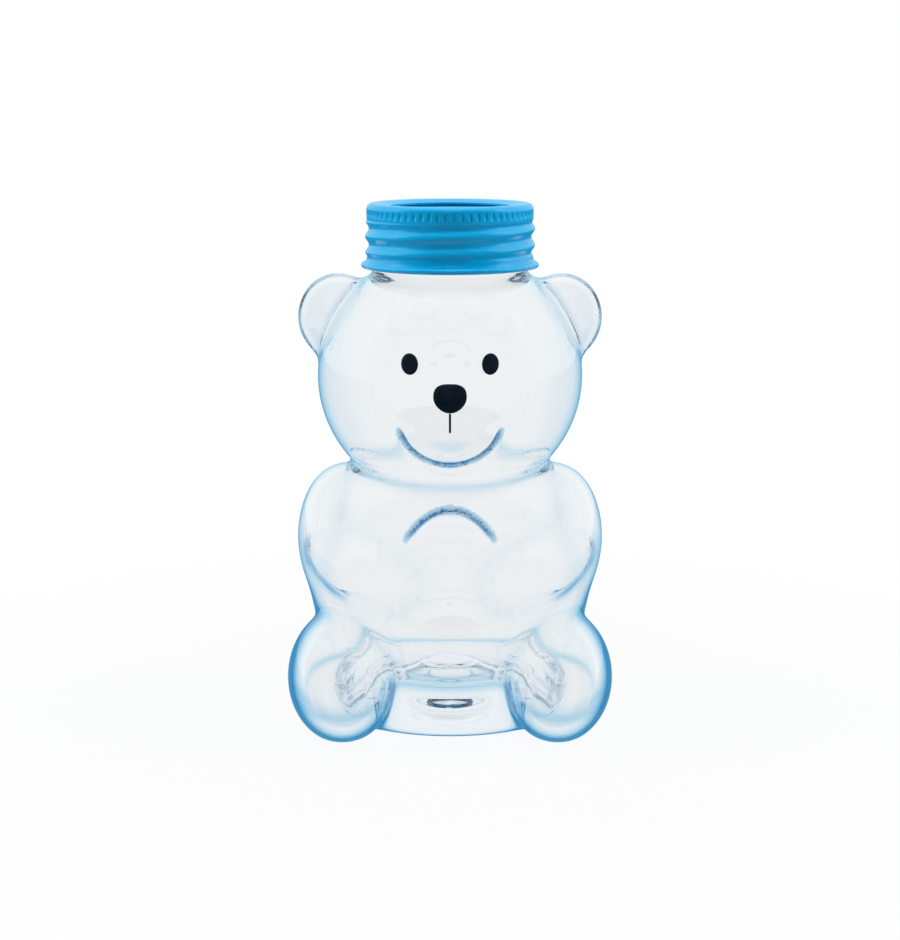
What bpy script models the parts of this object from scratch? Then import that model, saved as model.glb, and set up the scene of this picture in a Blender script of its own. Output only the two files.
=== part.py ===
"""Bear-shaped glass cup with a blue screw lid. Metres, +Z up, the bear faces -Y.

The origin is on the table, under the axis of the neck. The blown glass is a set of rounded lobes that
flow into one another. Its skin and its hollow are two smooth surfaces through the same lobes.
"""

import math

import bmesh
import bpy
import numpy as np
from mathutils import Euler, Matrix, Vector

# Head
HEAD_WIDTH = 0.0868
HEAD_DEPTH = 0.0830
HEAD_HEIGHT = 0.0830
HEAD_MIDDLE = 0.1165
HEAD_WALL = 0.0027
HEAD_BLEND = 0.0070

# Ears
EAR_WIDTH = 0.0262
EAR_HEIGHT = 0.0284
EAR_THICKNESS = 0.0170
EAR_WALL = 0.0026
EAR_BLEND = 0.0060
EAR_OUT_SHARE = 0.85
EAR_UP_SHARE = 0.455
EAR_BACK_SHARE = 0.10

# Muzzle
MUZZLE_WIDTH = 0.0395
MUZZLE_DEPTH = 0.0340
MUZZLE_HEIGHT = 0.0330
MUZZLE_REACH = 0.0052
MUZZLE_WALL = 0.0036
MUZZLE_BLEND = 0.0020
MUZZLE_DROP_SHARE = 0.175

# Chest and belly
CHEST_WIDTH = 0.0880
CHEST_DEPTH = 0.0660
CHEST_HEIGHT = 0.0560
CHEST_MIDDLE = 0.0670
BELLY_WIDTH = 0.0920
BELLY_DEPTH = 0.0879
BELLY_HEIGHT = 0.0680
BELLY_MIDDLE = 0.0420
BELLY_SETBACK = 0.0034
TORSO_WALL = 0.0029
TORSO_BLEND = 0.0120

# Arms and joined paws
ARM_SPAN = 0.1014
ARM_WIDTH = 0.0300
ARM_DEPTH = 0.0420
ARM_LENGTH = 0.0478
ARM_MIDDLE = 0.0624
ARM_WALL = 0.0030
ARM_BLEND = 0.0080
FOREARM_LENGTH = 0.0440
FOREARM_THICKNESS = 0.0220
FOREARM_TURN = math.radians(38)
FOREARM_DROP = math.radians(18)
FOREARM_MIDDLE = 0.0565
FOREARM_OUT_SHARE = 0.54
FOREARM_FORWARD_SHARE = 0.74
PAWS_WIDTH = 0.0380
PAWS_DEPTH = 0.0238
PAWS_HEIGHT = 0.0580
PAWS_MIDDLE = 0.0520
PAWS_REACH = 0.0073
PAWS_WALL = 0.0040
PAWS_BLEND = 0.0018

# Legs and base
FEET_SPAN = 0.1060
FOOT_WIDTH = 0.0360
FOOT_LENGTH = 0.0520
FOOT_HEIGHT = 0.0435
FOOT_SINK = 0.0012
FOOT_REACH = 0.0070
FOOT_WALL = 0.0045
FOOT_BLEND = 0.0070
BASE_WIDTH = 0.0800
BASE_DEPTH = 0.0600
BASE_HEIGHT = 0.0440
BASE_SINK = 0.0100
BASE_BLEND = 0.0045
BASE_THICKNESS = 0.0180
HEEL_BLEND = 0.0030
FLOOR_BLEND = 0.0060
FLOOR_RISE = 0.0020
FLOOR_RISE_DIAMETER = 0.0160
FLOOR_RISE_BLEND = 0.0008
PUNT_DIAMETER = 0.0360
PUNT_RISE = 0.0032
PUNT_BLEND = 0.0016

# Threaded neck
NECK_DIAMETER = 0.0500
NECK_BORE = 0.0430
NECK_HEIGHT = 0.0180
NECK_BLEND = 0.0030
NECK_TUCK = 0.0003
LIP_ROUND = 0.0010
THREAD_PITCH = 0.0053
THREAD_TURNS = 1.25
THREAD_HEIGHT = 0.0015
THREAD_START = 0.0077
THREAD_START_ANGLE = math.radians(-90)

# Lid
SHEET = 0.0005
LID_CLEARANCE = 0.0003
SEAL_THICKNESS = 0.0015
SEAL_WIDTH = 0.0036
DISC_DIAMETER = 0.0520
DISC_RECESS = 0.0021
DISC_STEP_SHARE = 0.71
DISC_SLOPE_SHARE = 0.075
BAND_CLEARANCE = 0.0006
BAND_OPENING = 0.0396
BAND_CROWN = 0.0010
BAND_CREST_SHARE = 0.60
BAND_CORNER = 0.0018
BEAD_HEIGHT = 0.0009
SKIRT_DROP = 0.0208
ROLL_DIAMETER = 0.0018
ROLL_REACH = 0.0013
FLARE_HEIGHT = 0.0028
KNURL_COUNT = 66
KNURL_DEPTH = 0.0004
KNURL_HEIGHT = 0.0034

# Enamel prints
PRINT_GAP = 0.0003
PRINT_THICKNESS = 0.0003
EYE_WIDTH = 0.0053
EYE_HEIGHT = 0.0064
EYE_SPACING = 0.0250
EYE_UP_SHARE = 0.221
NOSE_WIDTH = 0.0103
NOSE_HEIGHT = 0.0090
NOSE_UP_SHARE = 0.40
NOSE_FLAT_SHARE = 0.55
MOUTH_WIDTH = 0.0007
MOUTH_LENGTH = 0.0062

# Fineness of the surfaces
SKIN_VOXEL = 0.0018
SETTLE_ROUNDS = 6
SKIN_TRIANGLES = 5000
HOLLOW_TRIANGLES = 1800
NEAR_ZERO = 1e-9
SCREW_MERGE = 1e-5
LEAST_STEEP = 0.25
BISECTIONS = 40
LOBE_SEGMENTS = 32
LOBE_RINGS = 20
SLOPE_STEP = 1e-5
FLAT_SNAP = 5e-5
ROUND_STEPS = 44
THREAD_STEPS = 20
THREAD_FADE_STEPS = 3
CORNER_STEPS = 2
BEAD_ROWS = 4
FLARE_STEPS = 2
ROLL_STEPS = 6
CUT_OVERRUN = 0.0020


def vertical_share(radius, half_width):
    """How far up an ellipse, as a share of its half height, its half width has shrunk to radius."""
    return math.sqrt(max(1 - (radius / half_width) ** 2, 0))


# Heights that follow from the sizes
NECK_FOOT = HEAD_MIDDLE + HEAD_HEIGHT / 2 * vertical_share(NECK_DIAMETER / 2, HEAD_WIDTH / 2)
LIP = NECK_FOOT + NECK_HEIGHT
SEAL_BOTTOM = LIP + LID_CLEARANCE
DISC_BOTTOM = SEAL_BOTTOM + SEAL_THICKNESS + LID_CLEARANCE
CROWN_BOTTOM = DISC_BOTTOM + SHEET + LID_CLEARANCE
LID_TOP = CROWN_BOTTOM + SHEET + BAND_CROWN
THREAD_RADIUS = NECK_DIAMETER / 2 + THREAD_HEIGHT
SKIN_COLUMN = NECK_DIAMETER / 2 - NECK_TUCK
HOLLOW_COLUMN = NECK_BORE / 2 - NECK_TUCK
BEAD_INSIDE = THREAD_RADIUS + BAND_CLEARANCE
SKIRT_RADIUS = BEAD_INSIDE + SHEET - BEAD_HEIGHT / 2
KNURL_RADIUS = DISC_DIAMETER / 2 + BAND_CLEARANCE + SHEET
KNURL_FOOT = LID_TOP - BAND_CORNER - KNURL_HEIGHT
ROLL_MIDDLE = LID_TOP - SKIRT_DROP + ROLL_DIAMETER / 2
FLARE_TOP = ROLL_MIDDLE + FLARE_HEIGHT


def lobe(centre, size, wall, blend, turn=(0, 0, 0)):
    """An ellipsoid of the bear: its wall is how much smaller the hollow's own lobe is."""
    return {"centre": centre, "size": size, "wall": wall, "blend": blend, "turn": turn}


def head_lobes():
    half_width, half_depth, half_height = HEAD_WIDTH / 2, HEAD_DEPTH / 2, HEAD_HEIGHT / 2
    muzzle_y = MUZZLE_DEPTH / 2 - half_depth - MUZZLE_REACH
    muzzle_z = HEAD_MIDDLE - MUZZLE_DROP_SHARE * half_height
    lobes = [
        lobe((0, 0, HEAD_MIDDLE), (HEAD_WIDTH, HEAD_DEPTH, HEAD_HEIGHT), HEAD_WALL, HEAD_BLEND),
        lobe(
            (0, muzzle_y, muzzle_z),
            (MUZZLE_WIDTH, MUZZLE_DEPTH, MUZZLE_HEIGHT),
            MUZZLE_WALL,
            MUZZLE_BLEND,
        ),
    ]
    for side in (-1, 1):
        centre = (
            side * EAR_OUT_SHARE * half_width,
            EAR_BACK_SHARE * half_depth,
            HEAD_MIDDLE + EAR_UP_SHARE * half_height,
        )
        lobes.append(lobe(centre, (EAR_WIDTH, EAR_THICKNESS, EAR_HEIGHT), EAR_WALL, EAR_BLEND))
    return lobes


def torso_lobes():
    return [
        lobe(
            (0, BELLY_SETBACK, BELLY_MIDDLE),
            (BELLY_WIDTH, BELLY_DEPTH, BELLY_HEIGHT),
            TORSO_WALL,
            TORSO_BLEND,
        ),
        lobe(
            (0, 0, CHEST_MIDDLE), (CHEST_WIDTH, CHEST_DEPTH, CHEST_HEIGHT), TORSO_WALL, TORSO_BLEND
        ),
        lobe(
            (0, 0, BASE_HEIGHT / 2 - BASE_SINK),
            (BASE_WIDTH, BASE_DEPTH, BASE_HEIGHT),
            TORSO_WALL,
            BASE_BLEND,
        ),
    ]


def arm_lobes():
    lobes = []
    for side in (-1, 1):
        lobes.append(
            lobe(
                (side * (ARM_SPAN - ARM_WIDTH) / 2, 0, ARM_MIDDLE),
                (ARM_WIDTH, ARM_DEPTH, ARM_LENGTH),
                ARM_WALL,
                ARM_BLEND,
            )
        )
        lobes.append(
            lobe(
                (
                    side * FOREARM_OUT_SHARE * ARM_SPAN / 2,
                    -FOREARM_FORWARD_SHARE * CHEST_DEPTH / 2,
                    FOREARM_MIDDLE,
                ),
                (FOREARM_LENGTH, FOREARM_THICKNESS, FOREARM_THICKNESS),
                ARM_WALL,
                ARM_BLEND,
                (0, -side * FOREARM_DROP, side * FOREARM_TURN),
            )
        )
    paws_y = PAWS_DEPTH / 2 - CHEST_DEPTH / 2 - PAWS_REACH
    lobes.append(
        lobe((0, paws_y, PAWS_MIDDLE), (PAWS_WIDTH, PAWS_DEPTH, PAWS_HEIGHT), PAWS_WALL, PAWS_BLEND)
    )
    return lobes


def leg_lobes():
    belly_front = BELLY_SETBACK - BELLY_DEPTH / 2
    foot_y = belly_front - FOOT_REACH + FOOT_LENGTH / 2
    lobes = []
    for side in (-1, 1):
        centre = (side * (FEET_SPAN - FOOT_WIDTH) / 2, foot_y, FOOT_HEIGHT / 2 - FOOT_SINK)
        lobes.append(lobe(centre, (FOOT_WIDTH, FOOT_LENGTH, FOOT_HEIGHT), FOOT_WALL, FOOT_BLEND))
    return lobes


BODY_LOBES = torso_lobes() + arm_lobes() + head_lobes()
LEG_LOBES = leg_lobes()


def turned(form):
    return Euler(form["turn"]).to_matrix()


def shrunk(form):
    """The lobe of the hollow inside a lobe: a wall smaller all round, with fillets a wall larger."""
    size = tuple(side - 2 * form["wall"] for side in form["size"])
    return {**form, "size": size, "blend": form["blend"] + form["wall"]}


def lobe_distance(points, form):
    """About how far each point lies outside one lobe, and negative inside it."""
    radii = np.array(form["size"]) / 2
    local = (points - np.array(form["centre"])) @ np.array(turned(form))
    reach = np.linalg.norm(local / radii, axis=1)
    slope = np.maximum(np.linalg.norm(local / radii**2, axis=1), NEAR_ZERO)
    return reach * (reach - 1) / slope


def merged(first, second, blend):
    """The lower of two distances, with a fillet of about blend where they meet."""
    near = np.maximum(blend - np.abs(first - second), 0) / blend
    return np.minimum(first, second) - near**3 * blend / 6


def trimmed(first, second, blend):
    return -merged(-first, -second, blend)


def lobes_distance(points, lobes):
    distance = lobe_distance(points, lobes[0])
    for form in lobes[1:]:
        distance = merged(distance, lobe_distance(points, form), form["blend"])
    return distance


def column_distance(points, radius):
    return np.hypot(points[:, 0], points[:, 1]) - radius


def column_above(points, radius, foot):
    """Distance to an endless upright column whose foot is rounded off inside the head."""
    return trimmed(column_distance(points, radius), foot - points[:, 2], NECK_BLEND)


def skin_distance(points):
    distance = lobes_distance(points, BODY_LOBES + LEG_LOBES)
    neck = column_above(points, SKIN_COLUMN, HEAD_MIDDLE)
    distance = merged(distance, neck, NECK_BLEND)
    distance = trimmed(distance, -points[:, 2], HEEL_BLEND)
    punt = lobe((0, 0, 0), (PUNT_DIAMETER, PUNT_DIAMETER, 2 * PUNT_RISE), 0, 0)
    return trimmed(distance, -lobe_distance(points, punt), PUNT_BLEND)


def hollow_distance(points):
    distance = lobes_distance(points, [shrunk(form) for form in BODY_LOBES])
    bore = column_above(points, HOLLOW_COLUMN, HEAD_MIDDLE)
    distance = merged(distance, bore, NECK_BLEND)
    distance = trimmed(distance, BASE_THICKNESS - points[:, 2], FLOOR_BLEND)
    rise_size = (FLOOR_RISE_DIAMETER, FLOOR_RISE_DIAMETER, 2 * FLOOR_RISE)
    rise = lobe((0, 0, BASE_THICKNESS), rise_size, 0, 0)
    distance = trimmed(distance, -lobe_distance(points, rise), FLOOR_RISE_BLEND)
    for form in LEG_LOBES:
        leg = shrunk(form)
        distance = merged(distance, lobe_distance(points, leg), leg["blend"])
    return distance


def slopes(points, distance_of):
    """The gradient of a distance at each point."""
    found = np.empty_like(points)
    for axis in range(3):
        step = np.zeros(3)
        step[axis] = SLOPE_STEP
        ahead, behind = distance_of(points + step), distance_of(points - step)
        found[:, axis] = (ahead - behind) / (2 * SLOPE_STEP)
    return found


def settled(points, distance_of, rounds=3):
    """Points moved along the slope until they lie on the surface where the distance is zero."""
    for _ in range(rounds):
        slope = slopes(points, distance_of)
        steep = np.maximum((slope**2).sum(axis=1), LEAST_STEEP)
        points = points - slope * (distance_of(points) / steep)[:, None]
    return points


def mesh_points(mesh):
    points = np.empty(len(mesh.vertices) * 3, np.float32)
    mesh.vertices.foreach_get("co", points)
    return points.reshape(-1, 3).astype(float)


def put_points(mesh, points):
    mesh.vertices.foreach_set("co", points.astype(np.float32).ravel())
    mesh.update()


def evened(points, ends):
    """Each point moved to the middle of its neighbours."""
    total, count = np.zeros_like(points), np.zeros(len(points))
    for here, there in ((0, 1), (1, 0)):
        np.add.at(total, ends[:, here], points[ends[:, there]])
        np.add.at(count, ends[:, here], 1)
    return total / count[:, None]


def evaluated_mesh(obj):
    """A new mesh with the object's modifiers applied, and the object itself removed."""
    graph = bpy.context.evaluated_depsgraph_get()
    mesh = bpy.data.meshes.new_from_object(obj.evaluated_get(graph))
    bpy.data.objects.remove(obj)
    return mesh


def scratch_object(mesh):
    obj = bpy.data.objects.new(mesh.name, mesh)
    bpy.context.scene.collection.objects.link(obj)
    return obj


def lobes_mesh(name, lobes, column_radius, column_top):
    """The lobes as overlapping spheres and the neck as a cylinder, made one skin by a voxel remesh."""
    shape = bmesh.new()
    for form in lobes:
        place = Matrix.Translation(form["centre"]) @ turned(form).to_4x4()
        radii = Matrix.Diagonal(Vector(form["size"]) / 2).to_4x4()
        bmesh.ops.create_uvsphere(
            shape,
            u_segments=LOBE_SEGMENTS,
            v_segments=LOBE_RINGS,
            radius=1,
            matrix=place @ radii,
        )
    height = column_top - HEAD_MIDDLE
    bmesh.ops.create_cone(
        shape,
        cap_ends=True,
        segments=ROUND_STEPS,
        radius1=column_radius,
        radius2=column_radius,
        depth=height,
        matrix=Matrix.Translation((0, 0, HEAD_MIDDLE + height / 2)),
    )
    mesh = bpy.data.meshes.new(name)
    shape.to_mesh(mesh)
    shape.free()
    obj = scratch_object(mesh)
    remesh = obj.modifiers.new("skin", "REMESH")
    remesh.mode = "VOXEL"
    remesh.voxel_size = SKIN_VOXEL
    return evaluated_mesh(obj)


def flow(mesh, distance_of, low, high):
    """Draws a remeshed skin onto its smooth surface, with its points spread evenly, between two heights."""
    ends = np.empty(len(mesh.edges) * 2, np.int32)
    mesh.edges.foreach_get("vertices", ends)
    ends = ends.reshape(-1, 2)
    points = mesh_points(mesh)
    points[:, 2] = np.clip(points[:, 2], low, high)
    top = points[:, 2] >= high - SKIN_VOXEL / 2
    for _ in range(SETTLE_ROUNDS):
        moved = settled(evened(points, ends), distance_of)
        points = np.where(top[:, None], points, moved)
    put_points(mesh, points)


def snap_flat(mesh, low):
    """Sets what lies within a hair of the lowest level exactly on it."""
    points = mesh_points(mesh)
    points[points[:, 2] < low + FLAT_SNAP, 2] = low
    put_points(mesh, points)


def blown_surface(name, lobes, distance_of, radius, low, high, triangles):
    """One smooth surface of the glass as a closed mesh of about that many triangles."""
    mesh = lobes_mesh(name, lobes, radius, high)
    flow(mesh, distance_of, low, high)
    obj = scratch_object(mesh)
    decimate = obj.modifiers.new("fewer", "DECIMATE")
    decimate.ratio = triangles / (2 * len(mesh.polygons))
    fewer = evaluated_mesh(obj)
    snap_flat(fewer, low)
    return fewer


def material(name, colour, roughness, metallic=0.0, transmission=0.0):
    made = bpy.data.materials.new(name)
    made.use_nodes = True
    shader = made.node_tree.nodes["Principled BSDF"]
    shader.inputs["Base Color"].default_value = (*colour, 1)
    shader.inputs["Roughness"].default_value = roughness
    shader.inputs["Metallic"].default_value = metallic
    shader.inputs["Transmission Weight"].default_value = transmission
    made.diffuse_color = (*colour, 1)
    return made


def collection(name):
    made = bpy.data.collections.new(name)
    bpy.context.scene.collection.children.link(made)
    return made


def place(name, mesh, group, parent=None, finish=None, flat_angle=math.radians(40)):
    """Links a mesh whose points are in world space as an object that moves with its parent."""
    obj = bpy.data.objects.new(name, mesh)
    group.objects.link(obj)
    if parent is not None:
        obj.parent = parent
        bpy.context.view_layer.update()
        obj.matrix_parent_inverse = parent.matrix_world.inverted()
    mesh.materials.clear()
    if finish is not None:
        mesh.materials.append(finish)
    mesh.shade_smooth()
    mesh.set_sharp_from_angle(angle=flat_angle)
    return obj


def hide(cutter):
    cutter.hide_render = True
    cutter.display_type = "WIRE"
    return cutter


def turned_mesh(name, outline, steps):
    """A closed outline of (radius, height) points turned round the neck's axis by a Screw modifier."""
    shape = bmesh.new()
    points = [shape.verts.new((radius, 0, height)) for radius, height in outline]
    for start, end in zip(points, points[1:] + points[:1]):
        if abs(start.co.x) > NEAR_ZERO or abs(end.co.x) > NEAR_ZERO:
            shape.edges.new((start, end))
    mesh = bpy.data.meshes.new(name)
    shape.to_mesh(mesh)
    shape.free()
    obj = scratch_object(mesh)
    screw = obj.modifiers.new("turn", "SCREW")
    screw.steps = steps
    screw.render_steps = steps
    screw.use_merge_vertices = True
    screw.merge_threshold = SCREW_MERGE
    screw.use_normal_calculate = True
    made = evaluated_mesh(obj)
    face_out(made)
    return made


def face_out(mesh):
    shape = bmesh.new()
    shape.from_mesh(mesh)
    bmesh.ops.recalc_face_normals(shape, faces=shape.faces)
    if shape.calc_volume(signed=True) < 0:
        bmesh.ops.reverse_faces(shape, faces=shape.faces)
    shape.to_mesh(mesh)
    shape.free()


def boolean(obj, other, operation):
    joined = obj.modifiers.new(other.name, "BOOLEAN")
    joined.operation = operation
    joined.solver = "EXACT"
    joined.object = other


def bead_height(angle, turn=0):
    """The height of the thread's crest at an angle round the neck, with turn whole turns above."""
    return NECK_FOOT + THREAD_START + THREAD_PITCH * (
        (angle - THREAD_START_ANGLE) / (2 * math.pi) + turn
    )


def neck_finish_mesh():
    """The turned wall that carries the thread, solid until the bore is cut."""
    radius = NECK_DIAMETER / 2
    corner = LIP_ROUND * (1 - math.sin(math.pi / 4))
    outline = [
        (0, LIP),
        (radius - LIP_ROUND, LIP),
        (radius - corner, LIP - corner),
        (radius, LIP - LIP_ROUND),
        (radius, NECK_FOOT),
        (0, NECK_FOOT),
    ]
    return turned_mesh("neck_finish", outline, ROUND_STEPS)


def thread_mesh():
    """The glass thread: a helix that fades into the neck at both ends."""
    curve = bpy.data.curves.new("thread", "CURVE")
    curve.dimensions = "3D"
    curve.bevel_depth = THREAD_HEIGHT
    curve.bevel_resolution = 1
    curve.use_fill_caps = True
    count = round(THREAD_TURNS * THREAD_STEPS) + 1
    spline = curve.splines.new("POLY")
    spline.points.add(count - 1)
    for number, point in enumerate(spline.points):
        angle = THREAD_START_ANGLE + 2 * math.pi * THREAD_TURNS * number / (count - 1)
        fade = min(number + 1, count - number, THREAD_FADE_STEPS) / THREAD_FADE_STEPS
        radius = NECK_DIAMETER / 2 + THREAD_HEIGHT * (fade - 1) / 2
        point.co = (radius * math.cos(angle), radius * math.sin(angle), bead_height(angle), 1)
        point.radius = fade
    obj = bpy.data.objects.new("thread", curve)
    bpy.context.scene.collection.objects.link(obj)
    mesh = evaluated_mesh(obj)
    shape = bmesh.new()
    shape.from_mesh(mesh)
    bmesh.ops.remove_doubles(shape, verts=shape.verts, dist=NEAR_ZERO)
    shape.to_mesh(mesh)
    shape.free()
    face_out(mesh)
    return mesh


def bore_mesh():
    """What is cut through the neck: the bore, rounded out at the lip."""
    radius = NECK_BORE / 2
    outline = [
        (0, LIP + CUT_OVERRUN),
        (radius + LIP_ROUND / 2 + CUT_OVERRUN, LIP + CUT_OVERRUN),
        (radius, LIP - LIP_ROUND / 2),
        (radius, NECK_FOOT - NECK_BLEND),
        (0, NECK_FOOT - NECK_BLEND),
    ]
    return turned_mesh("bore", outline, ROUND_STEPS)


def build_glass(parts, cutters, parent):
    neck_cut = NECK_FOOT + NECK_BLEND
    lobes = BODY_LOBES + LEG_LOBES
    skin = blown_surface("skin", lobes, skin_distance, SKIN_COLUMN, 0, neck_cut, SKIN_TRIANGLES)
    hollow = blown_surface(
        "hollow",
        [shrunk(form) for form in lobes],
        hollow_distance,
        HOLLOW_COLUMN,
        FOOT_WALL - FOOT_SINK,
        neck_cut,
        HOLLOW_TRIANGLES,
    )
    clear = material("clear_glass", (0.80, 0.93, 0.98), 0.02, transmission=1.0)
    glass = place("glass_bear", skin, parts, parent, clear)
    for name, mesh, operation in (
        ("neck_finish", neck_finish_mesh(), "UNION"),
        ("thread", thread_mesh(), "UNION"),
        ("hollow", hollow, "DIFFERENCE"),
        ("bore", bore_mesh(), "DIFFERENCE"),
    ):
        boolean(glass, hide(place(name, mesh, cutters, parent)), operation)
    return glass


def skirt_radius(angle, height):
    """The outside of the band's skirt: helical beads that fade out under the knurl and at the flare."""
    phase = 2 * math.pi * (height - bead_height(angle)) / THREAD_PITCH
    fade = min(max(min(KNURL_FOOT - height, height - FLARE_TOP) / (THREAD_PITCH / 4), 0), 1)
    return SKIRT_RADIUS + BEAD_HEIGHT / 2 * fade * math.cos(phase)


def band_profile():
    """The outside of the sheet from the opening's edge over the crown and down to the flare.

    Each entry is (radius, height, waved): a waved row takes its radius from the thread's beads.
    """
    opening, shoulder = BAND_OPENING / 2, KNURL_RADIUS
    crest = opening + BAND_CREST_SHARE * (shoulder - opening)
    rows = [
        (opening, CROWN_BOTTOM, False),
        (opening, CROWN_BOTTOM + SHEET, False),
        (crest, LID_TOP, False),
    ]
    for step in range(CORNER_STEPS + 1):
        angle = math.pi / 2 * step / CORNER_STEPS
        rows.append(
            (
                shoulder - BAND_CORNER + BAND_CORNER * math.sin(angle),
                LID_TOP - BAND_CORNER + BAND_CORNER * math.cos(angle),
                False,
            )
        )
    rows.append((shoulder, KNURL_FOOT + SHEET, False))
    count = round((KNURL_FOOT - FLARE_TOP) / THREAD_PITCH * BEAD_ROWS)
    for step in range(count + 1):
        rows.append((SKIRT_RADIUS, KNURL_FOOT + (FLARE_TOP - KNURL_FOOT) * step / count, True))
    for step in range(1, FLARE_STEPS + 1):
        share = step / FLARE_STEPS
        rows.append((SKIRT_RADIUS + ROLL_REACH * share**2, FLARE_TOP - FLARE_HEIGHT * share, False))
    return rows


def band_sheet_mesh():
    """The formed sheet: an open surface of rows round the axis, thickened inwards."""
    shape = bmesh.new()
    rings = []
    for radius, height, waved in band_profile():
        ring = []
        for step in range(ROUND_STEPS):
            angle = 2 * math.pi * step / ROUND_STEPS
            reach = skirt_radius(angle, height) if waved else radius
            ring.append(shape.verts.new((reach * math.cos(angle), reach * math.sin(angle), height)))
        rings.append(ring)
    for upper, lower in zip(rings, rings[1:]):
        for step in range(ROUND_STEPS):
            after = (step + 1) % ROUND_STEPS
            shape.faces.new((lower[step], lower[after], upper[after], upper[step]))
    mesh = bpy.data.meshes.new("band_sheet")
    shape.to_mesh(mesh)
    shape.free()
    obj = scratch_object(mesh)
    solid = obj.modifiers.new("sheet", "SOLIDIFY")
    solid.thickness = SHEET
    solid.offset = -1
    solid.use_even_offset = True
    made = evaluated_mesh(obj)
    face_out(made)
    return made


def knurl_mesh():
    """A ring of shallow ribs pressed out of the band's upper edge."""
    shape = bmesh.new()
    top = LID_TOP - BAND_CORNER
    inner = KNURL_RADIUS - SHEET / 2
    rings = []
    for height, proud in ((top - KNURL_HEIGHT, 0), (top, 1)):
        outside, inside = [], []
        for step in range(2 * KNURL_COUNT):
            angle = math.pi * step / KNURL_COUNT
            reach = KNURL_RADIUS + (KNURL_DEPTH if step % 2 else -KNURL_DEPTH / 4)
            across, along = math.cos(angle), math.sin(angle)
            outside.append(shape.verts.new((reach * across, reach * along, height)))
            inside.append(shape.verts.new((inner * across, inner * along, height)))
        rings.append((outside, inside))
    (low_out, low_in), (high_out, high_in) = rings
    for step in range(2 * KNURL_COUNT):
        after = (step + 1) % (2 * KNURL_COUNT)
        for first, second in (
            (low_out, high_out),
            (high_out, high_in),
            (high_in, low_in),
            (low_in, low_out),
        ):
            shape.faces.new((first[step], first[after], second[after], second[step]))
    mesh = bpy.data.meshes.new("knurl")
    shape.to_mesh(mesh)
    shape.free()
    face_out(mesh)
    return mesh


def roll_mesh():
    """The wire-like roll along the band's lower edge."""
    radius = ROLL_DIAMETER / 2
    middle = SKIRT_RADIUS + ROLL_REACH - SHEET / 2
    outline = []
    for step in range(ROLL_STEPS):
        angle = 2 * math.pi * step / ROLL_STEPS
        outline.append((middle + radius * math.cos(angle), ROLL_MIDDLE + radius * math.sin(angle)))
    return turned_mesh("roll", outline, ROUND_STEPS)


def build_lid(parts, cutters, insert, turning):
    blue = material("blue_lacquer", (0.01, 0.31, 0.66), 0.35, metallic=0.0)
    soft = material("seal_silicone", (0.86, 0.88, 0.88), 0.6)
    band = place("screw_band", band_sheet_mesh(), parts, turning, blue)
    for name, mesh in (("knurl", knurl_mesh()), ("roll", roll_mesh())):
        boolean(band, hide(place(name, mesh, cutters, turning)), "UNION")
    place("lid_disc", disc_mesh(), parts, insert, blue)
    place("sealing_ring", seal_mesh(), parts, insert, soft)


def disc_mesh():
    """The lid's centre panel, pressed down inside its rim."""
    rim = DISC_DIAMETER / 2
    panel = DISC_STEP_SHARE * rim
    shoulder = panel + DISC_SLOPE_SHARE * rim
    low = DISC_BOTTOM - DISC_RECESS
    outline = [
        (0, low + SHEET),
        (panel, low + SHEET),
        (shoulder, DISC_BOTTOM + SHEET),
        (rim, DISC_BOTTOM + SHEET),
        (rim, DISC_BOTTOM),
        (shoulder + SHEET / 2, DISC_BOTTOM),
        (panel + SHEET / 2, low),
        (0, low),
    ]
    return turned_mesh("lid_disc", outline, ROUND_STEPS)


def seal_mesh():
    middle = (NECK_BORE + NECK_DIAMETER) / 4
    low, high = SEAL_BOTTOM, SEAL_BOTTOM + SEAL_THICKNESS
    half = SEAL_WIDTH / 2
    outline = [
        (middle + half, high),
        (middle + half, low),
        (middle - half, low),
        (middle - half, high),
    ]
    return turned_mesh("sealing_ring", outline, ROUND_STEPS)


def front_points(flat_points, level):
    """Where lines along Y through flat (x, z) points meet the surface at that distance off the front."""
    x, z = flat_points[:, 0], flat_points[:, 1]
    inside, outside = np.zeros(len(x)), np.full(len(x), -HEAD_DEPTH)
    for _ in range(BISECTIONS):
        middle = (inside + outside) / 2
        beyond = skin_distance(np.column_stack([x, middle, z])) > level
        outside = np.where(beyond, middle, outside)
        inside = np.where(beyond, inside, middle)
    return np.column_stack([x, middle, z])


def print_object(name, flat, faces, parts, parent, finish):
    """A fired print: a flat patch laid on the curve of the glass and given its thickness."""
    laid = front_points(np.array(flat), PRINT_GAP)
    mesh = bpy.data.meshes.new(name)
    mesh.from_pydata([tuple(point) for point in laid], [], faces)
    mesh.update()
    if mesh.polygons[0].normal.y > 0:
        mesh.flip_normals()
    obj = place(name, mesh, parts, parent, finish)
    solid = obj.modifiers.new("enamel", "SOLIDIFY")
    solid.thickness = PRINT_THICKNESS
    solid.offset = 1
    return obj


def oval_patch(middle, width, height, flat_top=0.0, spokes=20, rings=2):
    """Points and faces of an oval, wider above its middle by flat_top."""
    points, faces = [middle], []
    for ring in range(1, rings + 1):
        for spoke in range(spokes):
            angle = 2 * math.pi * spoke / spokes
            across, up = math.cos(angle), math.sin(angle)
            across *= 1 + flat_top * up * abs(across) / 4
            up *= 1 - flat_top * max(up, 0) ** 4 / 4
            share = ring / rings
            points.append((middle[0] + share * across * width / 2, middle[1] + share * up * height / 2))
    for spoke in range(spokes):
        after = (spoke + 1) % spokes
        faces.append((0, 1 + spoke, 1 + after))
        for ring in range(rings - 1):
            start = 1 + ring * spokes
            faces.append(
                (start + spoke, start + spokes + spoke, start + spokes + after, start + after)
            )
    return points, faces


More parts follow.
